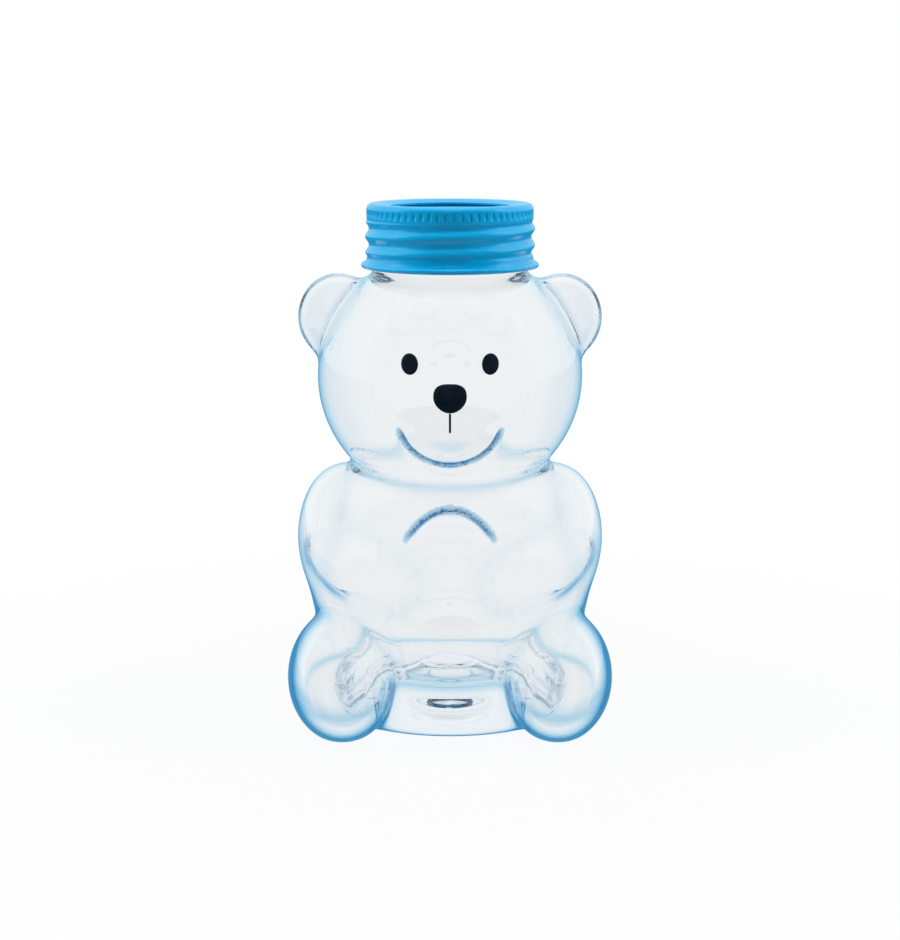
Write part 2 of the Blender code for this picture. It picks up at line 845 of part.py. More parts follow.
def strip_patch(top, width, length, steps=5):
    points, faces = [], []
    for step in range(steps + 1):
        height = top - length * step / steps
        points += [(-width / 2, height), (width / 2, height)]
    for step in range(steps):
        start = 2 * step
        faces.append((start, start + 1, start + 3, start + 2))
    return points, faces


def build_prints(parts, parent):
    black = material("black_enamel", (0.012, 0.013, 0.016), 0.25)
    eye_height = HEAD_MIDDLE + EYE_UP_SHARE * HEAD_HEIGHT / 2
    for side, name in ((-1, "eye_left"), (1, "eye_right")):
        patch = oval_patch((side * EYE_SPACING / 2, eye_height), EYE_WIDTH, EYE_HEIGHT)
        print_object(name, *patch, parts, parent, black)
    muzzle_middle = HEAD_MIDDLE - MUZZLE_DROP_SHARE * HEAD_HEIGHT / 2
    nose_height = muzzle_middle + NOSE_UP_SHARE * MUZZLE_HEIGHT / 2
    patch = oval_patch((0, nose_height), NOSE_WIDTH, NOSE_HEIGHT, NOSE_FLAT_SHARE)
    print_object("nose", *patch, parts, parent, black)
    mouth_top = nose_height - NOSE_HEIGHT / 2 - PRINT_GAP
    print_object("mouth_line", *strip_patch(mouth_top, MOUTH_WIDTH, MOUTH_LENGTH), parts, parent, black)


def axis_empty(name, group, parent=None):
    empty = bpy.data.objects.new(name, None)
    group.objects.link(empty)
    empty.location = (0, 0, LIP)
    if parent is not None:
        empty.parent = parent
        bpy.context.view_layer.update()
        empty.matrix_parent_inverse = parent.matrix_world.inverted()
    return empty


def build():
    for obj in list(bpy.data.objects):
        bpy.data.objects.remove(obj)
    parts, cutters = collection("bear_cup"), collection("cutters")
    root = bpy.data.objects.new("bear", None)
    parts.objects.link(root)
    insert = axis_empty("lid_lift", parts)
    turning = axis_empty("lid_turn", parts, insert)
    build_glass(parts, cutters, root)
    build_prints(parts, root)
    build_lid(parts, cutters, insert, turning)


build()
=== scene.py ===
"""The dressed bear-shaped glass cup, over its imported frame. Metres, +Z up, the bear faces -Y."""

import math

import bmesh
import bpy
import numpy as np
from mathutils import Euler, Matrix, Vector


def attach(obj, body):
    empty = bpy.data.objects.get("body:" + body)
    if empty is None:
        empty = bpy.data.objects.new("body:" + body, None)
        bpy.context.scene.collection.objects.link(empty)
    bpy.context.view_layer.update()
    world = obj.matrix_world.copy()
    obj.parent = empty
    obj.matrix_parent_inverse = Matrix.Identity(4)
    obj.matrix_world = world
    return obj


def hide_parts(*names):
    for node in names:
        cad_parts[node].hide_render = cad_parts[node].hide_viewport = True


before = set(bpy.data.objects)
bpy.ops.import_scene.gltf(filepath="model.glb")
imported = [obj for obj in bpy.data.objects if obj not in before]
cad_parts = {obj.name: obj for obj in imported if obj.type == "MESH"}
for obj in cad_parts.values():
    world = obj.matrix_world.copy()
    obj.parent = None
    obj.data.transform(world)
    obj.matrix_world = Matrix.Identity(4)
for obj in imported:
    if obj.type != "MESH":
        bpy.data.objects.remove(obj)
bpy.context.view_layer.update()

# The camera, from the photograph's outline
CAMERA_PLACE = (0.0, -0.650, 0.211)
CAMERA_PITCH = math.radians(79)
CAMERA_LENS = 76.3
CAMERA_SENSOR = 36.0

# Head, ears and muzzle: the part's sizes, but for a narrower muzzle and a tighter fold under the head
HEAD_WIDTH = 0.0868
HEAD_DEPTH = 0.0830
HEAD_HEIGHT = 0.0830
HEAD_MIDDLE = 0.1165
HEAD_WALL = 0.0027
HEAD_BLEND = 0.0050
EAR_WIDTH = 0.0262
EAR_HEIGHT = 0.0284
EAR_THICKNESS = 0.0170
EAR_WALL = 0.0026
EAR_BLEND = 0.0060
EAR_OUT_SHARE = 0.85
EAR_UP_SHARE = 0.455
EAR_BACK_SHARE = 0.10
MUZZLE_WIDTH = 0.0360
MUZZLE_DEPTH = 0.0340
MUZZLE_HEIGHT = 0.0330
MUZZLE_REACH = 0.0052
MUZZLE_WALL = 0.0036
MUZZLE_BLEND = 0.0020
MUZZLE_DROP_SHARE = 0.175

# Body, arms and paws: the part's sizes, but for paws that are slightly shorter and lower
CHEST_WIDTH = 0.0880
CHEST_DEPTH = 0.0660
CHEST_HEIGHT = 0.0560
CHEST_MIDDLE = 0.0670
BELLY_WIDTH = 0.0920
BELLY_DEPTH = 0.0879
BELLY_HEIGHT = 0.0680
BELLY_MIDDLE = 0.0420
BELLY_SETBACK = 0.0034
TORSO_WALL = 0.0029
TORSO_BLEND = 0.0120
ARM_SPAN = 0.1014
ARM_WIDTH = 0.0300
ARM_DEPTH = 0.0420
ARM_LENGTH = 0.0478
ARM_MIDDLE = 0.0624
ARM_WALL = 0.0030
ARM_BLEND = 0.0080
FOREARM_LENGTH = 0.0440
FOREARM_THICKNESS = 0.0220
FOREARM_TURN = math.radians(38)
FOREARM_DROP = math.radians(18)
FOREARM_MIDDLE = 0.0565
FOREARM_OUT_SHARE = 0.54
FOREARM_FORWARD_SHARE = 0.74
PAWS_WIDTH = 0.0380
PAWS_DEPTH = 0.0238
PAWS_HEIGHT = 0.0530
PAWS_MIDDLE = 0.0515
PAWS_REACH = 0.0073
PAWS_WALL = 0.0040
PAWS_BLEND = 0.0018

# The creases pressed under the muzzle and over the paws, with the heights where each starts and is
# at its full depth, and the soft fillet that it fades into
CREASE_WIDTH = 0.0012
CREASE_DEPTH = 0.0007
MUZZLE_FOLD = 0.1085
MUZZLE_CREASE = 0.1025
MUZZLE_FADE = 0.0150
PAWS_FOLD = 0.0660
PAWS_CREASE = 0.0710
PAWS_FADE = 0.0090

# The hollow behind the muzzle is flatter than the muzzle and flows softly into the head's
MUZZLE_SOFTENING = 0.0016
MUZZLE_INNER_BLEND = 0.0110

# How dark the painted fold shade is: a fillet of this radius gets the darkest painted blue, and wider
# ones less
SHARP_BLEND = 0.0022
FOLD_GAIN = 1.5

# The glass's painted edge shade grows darker towards its foot, by this share between these heights
FOOT_SHADE_SHARE = 0.45
FOOT_SHADE_FROM = 0.0620
FOOT_SHADE_BELOW = 0.0260

# Legs and base, as in the part's source
FEET_SPAN = 0.1060
FOOT_WIDTH = 0.0360
FOOT_LENGTH = 0.0520
FOOT_HEIGHT = 0.0435
FOOT_SINK = 0.0012
FOOT_REACH = 0.0070
FOOT_WALL = 0.0045
FOOT_BLEND = 0.0070
BASE_WIDTH = 0.0800
BASE_DEPTH = 0.0600
BASE_HEIGHT = 0.0440
BASE_SINK = 0.0100
BASE_BLEND = 0.0045
BASE_THICKNESS = 0.0180
HEEL_BLEND = 0.0030
FLOOR_BLEND = 0.0060
FLOOR_RISE = 0.0020
FLOOR_RISE_DIAMETER = 0.0160
FLOOR_RISE_BLEND = 0.0008
PUNT_DIAMETER = 0.0360
PUNT_RISE = 0.0032
PUNT_BLEND = 0.0016

# Threaded neck: the part's sizes, with soft fillets at its lip and its thread
NECK_DIAMETER = 0.0500
NECK_BORE = 0.0430
NECK_HEIGHT = 0.0180
NECK_BLEND = 0.0030
LIP_BLEND = 0.0022
THREAD_PITCH = 0.0053
THREAD_TURNS = 1.25
THREAD_HEIGHT = 0.0015
THREAD_START = 0.0077
THREAD_START_ANGLE = math.radians(-90)
THREAD_FADE = 0.12
THREAD_BLEND = 0.0012

# Lid: the part's sizes, but for fuller beads and narrower, slightly shallower notches
SHEET = 0.0005
LID_CLEARANCE = 0.0003
SEAL_THICKNESS = 0.0015
SEAL_WIDTH = 0.0036
DISC_DIAMETER = 0.0520
DISC_RECESS = 0.0021
DISC_STEP_SHARE = 0.71
DISC_SLOPE_SHARE = 0.075
DISC_PIN = 0.00002
DISC_CORNER_SHARE = 1.6
BAND_CLEARANCE = 0.0006
BAND_OPENING = 0.0396
BAND_CROWN = 0.0010
BAND_CREST_SHARE = 0.60
CROWN_ROUNDNESS = 1.3
BAND_CORNER = 0.0018
BEAD_HEIGHT = 0.0012
BEAD_FADE_SHARE = 0.25
SKIRT_DROP = 0.0208
ROLL_DIAMETER = 0.0018
ROLL_REACH = 0.0013
FLARE_HEIGHT = 0.0028
KNURL_COUNT = 66
KNURL_DEPTH = 0.00038
NOTCH_NARROWNESS = 2.2
NOTCH_SHARE = 0.80
KNURL_HEIGHT = 0.0034
KNURL_SHARE = 0.75

# Enamel prints, which are thinner and lie closer to the glass than the part's do
PRINT_GAP = 0.00003
PRINT_THICKNESS = 0.00022
PRINT_ROUNDNESS = 8
EYE_CROWN = PRINT_THICKNESS / 3
NOSE_CROWN = 0.00033
EYE_WIDTH = 0.0053
EYE_HEIGHT = 0.0064
EYE_SPACING = 0.0250
EYE_UP_SHARE = 0.221
NOSE_WIDTH = 0.0103
NOSE_HEIGHT = 0.0090
NOSE_UP_SHARE = 0.40
NOSE_SQUARE_SHARE = 0.10
NOSE_NARROW_SHARE = 0.13
NOSE_BROAD_SHARE = 0.03
NOSE_SQUASH = 0.97
NOSE_TAPER = 1.2
MOUTH_WIDTH = 0.0007
MOUTH_LENGTH = 0.0062

# Fineness of the surfaces
GLASS_VOXEL = 0.0010
SETTLE_ROUNDS = 5
LAST_ROUNDS = 2
SLOPE_STEP = 1e-5
NEAR_ZERO = 1e-9
LEAST_STEEP = 0.25
FAR_AWAY = HEAD_WIDTH
SHARP_ANGLE = math.radians(35)
ROUND_STEPS = 192
RIB_STEPS = 10
CURVE_STEPS = 8
KNURL_STEPS = 16
BEAD_STEPS = 48
ROLL_STEPS = 16
PRINT_SEARCHES = 36

# The glass's own faint tint where it is seen full on, turning to painted blue shade where it is seen
# edge on, and the painted shade in its folds
EDGE_SHADE_TINTS = (
    (0.0, (0.952, 0.956, 0.958)),
    (0.62, (0.90, 0.93, 0.945)),
    (0.78, (0.44, 0.71, 0.86)),
    (0.90, (0.09, 0.36, 0.66)),
    (1.0, (0.003, 0.09, 0.30)),
)
FOLD_SHADE_TINTS = ((0.0, (1.0, 1.0, 1.0)), (0.09, (0.34, 0.65, 0.85)), (1.0, (0.0005, 0.055, 0.23)))

# The floor: beyond the far radius it shows only the white backdrop, and within the near one this share
# of it, with its own colour and the cup's shadow for the rest
BACKDROP_SHARE = 0.90
SHADOW_NEAR = 0.06
SHADOW_FAR = 0.30
FLOOR_RADIUS = 6.0
FLOOR_SIDES = 96
FLOOR_DROP = 0.0004
FLOOR_COLOUR = (0.50, 0.50, 0.50)

# What surfaces reflect: a painted blue reflection for the floor, and the room's tones from the camera's
# side to behind the cup
FLOOR_PAINTED_REFLECTION = (0.05, 0.32, 0.58)
REFLECTED_TONES = (
    (0.0, (0.0, 0.16, 0.32)),
    (0.28, (0.0, 0.20, 0.38)),
    (0.44, (0.90, 0.98, 1.0)),
    (0.60, (0.80, 0.94, 1.0)),
    (1.0, (0.50, 0.78, 0.94)),
)

# Soft light from all round, and the lamps: name, place, width of the square, watts
SOFT_COLOUR = (0.93, 0.97, 1.0)
SOFT_STRENGTH = 0.16
LAMP_TARGET = (0, 0, 0.09)
LAMPS = (
    ("side_left", (-0.95, -0.10, 0.70), 0.5, 12.0),
    ("side_right", (0.95, -0.10, 0.70), 0.5, 11.5),
    ("top", (0.00, -0.15, 1.15), 0.5, 5.0),
    ("front", (0.00, -0.95, 0.80), 0.4, 1.6),
)

# Light bounces, so that light led along the glass wall gets out again
LIGHT_BOUNCES = 96


def vertical_share(radius, half_width):
    """How high an ellipsoid still reaches at a radius, as a share of its half height."""
    return math.sqrt(max(1 - (radius / half_width) ** 2, 0))


# Heights and radii that follow from the sizes
NECK_FOOT = HEAD_MIDDLE + HEAD_HEIGHT / 2 * vertical_share(NECK_DIAMETER / 2, HEAD_WIDTH / 2)
LIP = NECK_FOOT + NECK_HEIGHT
SEAL_BOTTOM = LIP + LID_CLEARANCE
DISC_BOTTOM = SEAL_BOTTOM + SEAL_THICKNESS + LID_CLEARANCE
CROWN_BOTTOM = DISC_BOTTOM + SHEET + LID_CLEARANCE
LID_TOP = CROWN_BOTTOM + SHEET + BAND_CROWN
THREAD_RADIUS = NECK_DIAMETER / 2 + THREAD_HEIGHT
BEAD_INSIDE = THREAD_RADIUS + BAND_CLEARANCE
SKIRT_RADIUS = BEAD_INSIDE + SHEET - BEAD_HEIGHT / 2
KNURL_RADIUS = DISC_DIAMETER / 2 + BAND_CLEARANCE + SHEET
KNURL_FOOT = LID_TOP - BAND_CORNER - KNURL_HEIGHT
ROLL_MIDDLE = LID_TOP - SKIRT_DROP + ROLL_DIAMETER / 2
FLARE_TOP = ROLL_MIDDLE + FLARE_HEIGHT
MUZZLE_MIDDLE = HEAD_MIDDLE - MUZZLE_DROP_SHARE * HEAD_HEIGHT / 2
NOSE_MIDDLE = MUZZLE_MIDDLE + NOSE_UP_SHARE * MUZZLE_HEIGHT / 2
EYES_MIDDLE = HEAD_MIDDLE + EYE_UP_SHARE * HEAD_HEIGHT / 2


def lobe(centre, size, wall, blend, turn=(0, 0, 0), fold=None, inner=None):
    """A rounded form of the glass. The fold is pressed in where it meets the others, and inner says how
    much smaller still its hollow is, and how wide the fillets of the hollow are."""
    return {
        "centre": np.array(centre),
        "radii": np.array(size) / 2,
        "wall": wall,
        "blend": blend,
        "turned": np.array(Euler(turn).to_matrix()),
        "fold": fold,
        "inner": inner or (0, blend + wall),
    }


def body_lobes():
    """The rounded forms that the bear is blown from, in the order in which they are joined."""
    half_width, half_depth, half_height = HEAD_WIDTH / 2, HEAD_DEPTH / 2, HEAD_HEIGHT / 2
    belly = (BELLY_WIDTH, BELLY_DEPTH, BELLY_HEIGHT)
    chest = (CHEST_WIDTH, CHEST_DEPTH, CHEST_HEIGHT)
    base = (BASE_WIDTH, BASE_DEPTH, BASE_HEIGHT)
    upper_arm = (ARM_WIDTH, ARM_DEPTH, ARM_LENGTH)
    forearm = (FOREARM_LENGTH, FOREARM_THICKNESS, FOREARM_THICKNESS)
    lobes = [
        lobe((0, BELLY_SETBACK, BELLY_MIDDLE), belly, TORSO_WALL, TORSO_BLEND),
        lobe((0, 0, CHEST_MIDDLE), chest, TORSO_WALL, TORSO_BLEND),
        lobe((0, 0, BASE_HEIGHT / 2 - BASE_SINK), base, TORSO_WALL, BASE_BLEND),
    ]
    for side in (-1, 1):
        place = (side * (ARM_SPAN - ARM_WIDTH) / 2, 0, ARM_MIDDLE)
        lobes.append(lobe(place, upper_arm, ARM_WALL, ARM_BLEND))
        place = (
            side * FOREARM_OUT_SHARE * ARM_SPAN / 2,
            -FOREARM_FORWARD_SHARE * CHEST_DEPTH / 2,
            FOREARM_MIDDLE,
        )
        turn = (0, -side * FOREARM_DROP, side * FOREARM_TURN)
        lobes.append(lobe(place, forearm, ARM_WALL, ARM_BLEND, turn))
    paws_y = PAWS_DEPTH / 2 - CHEST_DEPTH / 2 - PAWS_REACH
    paws = (PAWS_WIDTH, PAWS_DEPTH, PAWS_HEIGHT)
    fold = (PAWS_FOLD, PAWS_CREASE, PAWS_FADE)
    lobes.append(lobe((0, paws_y, PAWS_MIDDLE), paws, PAWS_WALL, PAWS_BLEND, fold=fold))
    head = (HEAD_WIDTH, HEAD_DEPTH, HEAD_HEIGHT)
    muzzle_y = MUZZLE_DEPTH / 2 - half_depth - MUZZLE_REACH
    muzzle = (MUZZLE_WIDTH, MUZZLE_DEPTH, MUZZLE_HEIGHT)
    lobes.append(lobe((0, 0, HEAD_MIDDLE), head, HEAD_WALL, HEAD_BLEND))
    place = (0, muzzle_y, MUZZLE_MIDDLE)
    fold = (MUZZLE_FOLD, MUZZLE_CREASE, MUZZLE_FADE)
    inner = (MUZZLE_SOFTENING, MUZZLE_INNER_BLEND)
    lobes.append(lobe(place, muzzle, MUZZLE_WALL, MUZZLE_BLEND, fold=fold, inner=inner))
    for side in (-1, 1):
        place = (
            side * EAR_OUT_SHARE * half_width,
            EAR_BACK_SHARE * half_depth,
            HEAD_MIDDLE + EAR_UP_SHARE * half_height,
        )
        lobes.append(lobe(place, (EAR_WIDTH, EAR_THICKNESS, EAR_HEIGHT), EAR_WALL, EAR_BLEND))
    return lobes


def leg_lobes():
    """The two legs, which are joined to the body last and have hollows of their own."""
    belly_front = BELLY_SETBACK - BELLY_DEPTH / 2
    foot_y = belly_front - FOOT_REACH + FOOT_LENGTH / 2
    lobes = []
    for side in (-1, 1):
        place = (side * (FEET_SPAN - FOOT_WIDTH) / 2, foot_y, FOOT_HEIGHT / 2 - FOOT_SINK)
        lobes.append(lobe(place, (FOOT_WIDTH, FOOT_LENGTH, FOOT_HEIGHT), FOOT_WALL, FOOT_BLEND))
    return lobes


def shrunk(form):
    """The lobe of the hollow inside a lobe: a wall smaller all round, and joined as the lobe says."""
    softening, blend = form["inner"]
    return {**form, "radii": form["radii"] - form["wall"] - softening, "blend": blend, "fold": None}


BODY_LOBES = body_lobes()
LEG_LOBES = leg_lobes()
BODY_HOLLOWS = [shrunk(form) for form in BODY_LOBES]
LEG_HOLLOWS = [shrunk(form) for form in LEG_LOBES]
PUNT = lobe((0, 0, 0), (PUNT_DIAMETER, PUNT_DIAMETER, 2 * PUNT_RISE), 0, 0)
FLOOR_DOME = lobe(
    (0, 0, BASE_THICKNESS), (FLOOR_RISE_DIAMETER, FLOOR_RISE_DIAMETER, 2 * FLOOR_RISE), 0, 0
)


def lobe_distance(points, form):
    """About how far each point lies outside one lobe, and negative inside it."""
    local = (points - form["centre"]) @ form["turned"] / form["radii"]
    reach = np.sqrt((local**2).sum(axis=1))
    slope = np.maximum(np.sqrt(((local / form["radii"]) ** 2).sum(axis=1)), NEAR_ZERO)
    return reach * (reach - 1) / slope


def merged(first, second, blend):
    """The lower of two distances, with a fillet of about blend where they meet."""
    near = np.maximum(blend - np.abs(first - second), 0) / blend
    return np.minimum(first, second) - near**3 * blend / 6


def trimmed(first, second, blend):
    """The higher of two distances, with a fillet of about blend where they meet."""
    return -merged(-first, -second, blend)


def height_share(points, low, high):
    """0 at one height, 1 at another, and a smooth step in between."""
    share = np.clip((points[:, 2] - low) / (high - low), 0, 1)
    return share * share * (3 - 2 * share)


def creased(first, second, share, fade):
    """A soft union, pressed into a narrow groove where the share is 1."""
    near = np.maximum(1 - ((first - second) / CREASE_WIDTH) ** 2, 0)
    groove = merged(first, second, CREASE_WIDTH) + near**2 * CREASE_DEPTH
    return groove * share + merged(first, second, fade) * (1 - share)


def joined(distance, points, form):
    """The distance to the lobes joined so far and one more, and how deep in their fold points lie."""
    other = lobe_distance(points, form)
    apart = np.abs(distance - other)
    if form["fold"]:
        low, high, fade = form["fold"]
        share = height_share(points, low, high)
        off = np.maximum(apart, np.abs(other))
        near = np.maximum(1 - (off / CREASE_WIDTH) ** 2, 0)
        depth = np.minimum(FOLD_GAIN * near**2, 1)
        return creased(distance, other, share, fade), share * depth
    # How deep a point lies in this fold, which sets how dark its painted shade is
    sharpness = min(SHARP_BLEND / form["blend"], 1) ** 3
    fold = sharpness * np.maximum(1 - apart / form["blend"], 0) ** 2
    return merged(distance, other, form["blend"]), fold


def lobes_joined(points, lobes):
    """The distance to a row of lobes, and from 0 to 1 how deep in their folds points lie."""
    distance = lobe_distance(points, lobes[0])
    deepest = np.zeros(len(points))
    for form in lobes[1:]:
        distance, fold = joined(distance, points, form)
        deepest = np.maximum(deepest, fold)
    return distance, deepest


def column_above(points, radius, foot):
    """The distance to an upright column round the neck's axis, from a height upwards."""
    around = np.hypot(points[:, 0], points[:, 1]) - radius
    return trimmed(around, foot - points[:, 2], NECK_BLEND)


def bead_height(turns):
    """The height of the thread's crest that many turns from its start."""
    return NECK_FOOT + THREAD_START + THREAD_PITCH * turns


def thread_distance(points):
    """Distance to the glass thread: a round helix that fades into the neck at both ends."""
    reach = np.hypot(points[:, 0], points[:, 1])
    start = (np.arctan2(points[:, 1], points[:, 0]) - THREAD_START_ANGLE) / (2 * math.pi) % 1
    distance = np.full(len(points), FAR_AWAY)
    for turns in (start, start + 1):
        fade = np.clip(np.minimum(turns, THREAD_TURNS - turns) / THREAD_FADE, 0, 1)
        core = NECK_DIAMETER / 2 + THREAD_HEIGHT * (fade - 1)
        away = np.hypot(reach - core, points[:, 2] - bead_height(turns)) - THREAD_HEIGHT
        distance = np.minimum(distance, np.where(fade > 0, away, FAR_AWAY))
    return distance


def skin_distance(points):
    """The distance to the outside of the glass, without its thread."""
    distance = lobes_joined(points, BODY_LOBES + LEG_LOBES)[0]
    neck = column_above(points, NECK_DIAMETER / 2, HEAD_MIDDLE)
    distance = merged(distance, neck, NECK_BLEND)
    distance = trimmed(distance, -points[:, 2], HEEL_BLEND)
    return trimmed(distance, -lobe_distance(points, PUNT), PUNT_BLEND)


def hollow_distance(points):
    """The distance to the hollow inside the glass."""
    distance = lobes_joined(points, BODY_HOLLOWS)[0]
    bore = column_above(points, NECK_BORE / 2, HEAD_MIDDLE)
    distance = merged(distance, bore, NECK_BLEND)
    distance = trimmed(distance, BASE_THICKNESS - points[:, 2], FLOOR_BLEND)
    distance = trimmed(distance, -lobe_distance(points, FLOOR_DOME), FLOOR_RISE_BLEND)
    for form in LEG_HOLLOWS:
        distance = merged(distance, lobe_distance(points, form), form["blend"])
    return distance


def glass_distance(points):
    """The distance to the glass itself: skin and thread up to the lip, less the hollow."""
    distance = merged(skin_distance(points), thread_distance(points), THREAD_BLEND)
    distance = trimmed(distance, points[:, 2] - LIP, LIP_BLEND)
    return trimmed(distance, -hollow_distance(points), LIP_BLEND)


def settled(points, distance_of):
    """Points moved once along the slope towards the surface where the distance is zero."""
    here = distance_of(points)
    slope = np.empty_like(points)
    for axis in range(3):
        step = np.zeros(3)
        step[axis] = SLOPE_STEP
        slope[:, axis] = (distance_of(points + step) - here) / SLOPE_STEP
    steep = np.maximum((slope**2).sum(axis=1), LEAST_STEEP)
    return points - slope * (here / steep)[:, None]


def evened(points, ends):
    """Each point moved to the middle of its neighbours."""
    count = np.bincount(ends.ravel(), minlength=len(points))
    total = np.empty_like(points)
    for axis in range(3):
        total[:, axis] = np.bincount(
            ends[:, 0], weights=points[ends[:, 1], axis], minlength=len(points)
        ) + np.bincount(ends[:, 1], weights=points[ends[:, 0], axis], minlength=len(points))
    return total / count[:, None]


def evaluated_mesh(obj):
    """The mesh of an object with its modifiers applied. The object itself is removed."""
    graph = bpy.context.evaluated_depsgraph_get()
    mesh = bpy.data.meshes.new_from_object(obj.evaluated_get(graph))
    bpy.data.objects.remove(obj)
    return mesh


def placed(name, mesh, finish, body, node):
    """Links a piece, gives it its finish, and sets it on its body in place of its CAD node."""
    obj = bpy.data.objects.new(name, mesh)
    bpy.context.scene.collection.objects.link(obj)
    mesh.materials.clear()
    mesh.materials.append(finish)
    mesh.shade_smooth()
    mesh.set_sharp_from_angle(angle=SHARP_ANGLE)
    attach(obj, body)
    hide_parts(node)


def blown_mesh():
    """The glass as one fine skin: the CAD solid remeshed, then drawn onto the lobes' smooth surface."""
    shape = bmesh.new()
    shape.from_mesh(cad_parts["glass_bear"].data)
    bmesh.ops.remove_doubles(shape, verts=shape.verts, dist=SLOPE_STEP)
    mesh = bpy.data.meshes.new("blown")
    shape.to_mesh(mesh)
    shape.free()
    obj = bpy.data.objects.new("blown", mesh)
    bpy.context.scene.collection.objects.link(obj)
    remesh = obj.modifiers.new("skin", "REMESH")
    remesh.mode = "VOXEL"
    remesh.voxel_size = GLASS_VOXEL
    mesh = evaluated_mesh(obj)
    ends = np.empty(len(mesh.edges) * 2, np.int32)
    mesh.edges.foreach_get("vertices", ends)
    ends = ends.reshape(-1, 2)
    points = np.empty(len(mesh.vertices) * 3, np.float32)
    mesh.vertices.foreach_get("co", points)
    points = points.reshape(-1, 3).astype(float)
    for _ in range(SETTLE_ROUNDS):
        points = settled((points + evened(points, ends)) / 2, glass_distance)
    for _ in range(LAST_ROUNDS):
        points = settled(points, glass_distance)
    points[:, 2] = np.clip(points[:, 2], 0, LIP)
    mesh.vertices.foreach_set("co", points.astype(np.float32).ravel())
    mesh.update()
    # Masks for painted shade: the outside's edge-on faces get painted blue shade, more towards the foot,
    # and its folds a painted dark blue
    outside = np.abs(skin_distance(points)) < np.abs(hollow_distance(points))
    edges = outside * (1 + FOOT_SHADE_SHARE * height_share(points, FOOT_SHADE_FROM, FOOT_SHADE_BELOW))
    painted_fold_shade = lobes_joined(points, BODY_LOBES + LEG_LOBES)[1] * outside
    for name, values in (("edges", edges), ("painted_fold_shade", painted_fold_shade)):
        attribute = mesh.attributes.new(name, "FLOAT", "POINT")
        attribute.data.foreach_set("value", values.astype(np.float32))
    return mesh


def grid_mesh(name, rings):
    """A closed surface through rings of points, each ring going once round the neck's axis."""
    rings = np.array(rings)
    rows, steps = rings.shape[:2]
    row, step = np.meshgrid(np.arange(rows), np.arange(steps))
    row, step = row.ravel(), step.ravel()
    below, after = (row + 1) % rows, (step + 1) % steps
    faces = np.column_stack(
        [row * steps + step, below * steps + step, below * steps + after, row * steps + after]
    )
    mesh = bpy.data.meshes.new(name)
    mesh.from_pydata(rings.reshape(-1, 3).tolist(), [], faces.tolist())
    mesh.update()
    face_out(mesh)
    return mesh


def face_out(mesh):
    """Turns all faces of a closed mesh outwards."""
    shape = bmesh.new()
    shape.from_mesh(mesh)
    bmesh.ops.recalc_face_normals(shape, faces=shape.faces)
    if shape.calc_volume(signed=True) < 0:
        bmesh.ops.reverse_faces(shape, faces=shape.faces)
    shape.to_mesh(mesh)
    shape.free()


def ring_points(radius, height, angles):
    """Points round the neck's axis, at those angles."""
    return np.column_stack(
        [radius * np.cos(angles), radius * np.sin(angles), np.broadcast_to(height, angles.shape)]
    )


def turned_mesh(name, outline):
    """A closed outline of (radius, height) points turned round the neck's axis."""
    angles = np.arange(ROUND_STEPS) * 2 * math.pi / ROUND_STEPS
    return grid_mesh(name, [ring_points(radius, height, angles) for radius, height in outline])


def rounded(outline, radius, steps=4):
    """A closed outline with each corner cut to an arc of about that radius."""
    smooth = []
    count = len(outline)
    for number in range(count):
        before, here, after = (
            Vector(outline[(number + offset) % count]) for offset in (-1, 0, 1)
        )
        first, last = before - here, after - here
        reach = min(radius, first.length / 2, last.length / 2)
        start, end = here + first.normalized() * reach, here + last.normalized() * reach
        for step in range(steps + 1):
            share = step / steps
            point = start * (1 - share) ** 2 + here * 2 * share * (1 - share) + end * share**2
            smooth.append(tuple(point))
    return smooth


def band_outside():
    """The outside of the sheet as (radius, height, bead share, notch share), from opening to flare."""
    opening, shoulder = BAND_OPENING / 2, KNURL_RADIUS
    crest = opening + BAND_CREST_SHARE * (shoulder - opening)
    edge = CROWN_BOTTOM + SHEET
    rows = [(opening, CROWN_BOTTOM - LID_CLEARANCE / 2, 0, 0)]
    for step in range(CURVE_STEPS + 1):
        share = step / CURVE_STEPS
        rise = math.sin(math.pi / 2 * share) ** CROWN_ROUNDNESS
        rows.append((opening + (crest - opening) * share, edge + (LID_TOP - edge) * rise, 0, 0))
    for step in range(1, CURVE_STEPS + 1):
        angle = math.pi / 2 * step / CURVE_STEPS
        radius = shoulder - BAND_CORNER * (1 - math.sin(angle))
        rows.append((radius, LID_TOP - BAND_CORNER * (1 - math.cos(angle)), 0, 0))
    top = LID_TOP - BAND_CORNER
    for step in range(1, KNURL_STEPS + 1):
        share = step / KNURL_STEPS
        inward = max(0, share - KNURL_SHARE) / (1 - KNURL_SHARE)
        radius = shoulder + (SKIRT_RADIUS - shoulder) * inward
        notch = 1 - (2 * share / NOTCH_SHARE - 1) ** 2
        rows.append((radius, top + (KNURL_FOOT - top) * share, 0, notch))
    for step in range(1, BEAD_STEPS + 1):
        height = KNURL_FOOT + (FLARE_TOP - KNURL_FOOT) * (step / BEAD_STEPS)
        near = min(KNURL_FOOT - height, height - FLARE_TOP) / (THREAD_PITCH * BEAD_FADE_SHARE)
        fade = min(max(near, 0), 1)
        rows.append((SKIRT_RADIUS, height, fade * fade * (3 - 2 * fade), 0))
    for step in range(1, CURVE_STEPS + 1):
        share = step / CURVE_STEPS
        rows.append((SKIRT_RADIUS + ROLL_REACH * share**2, FLARE_TOP - FLARE_HEIGHT * share, 0, 0))
    return rows


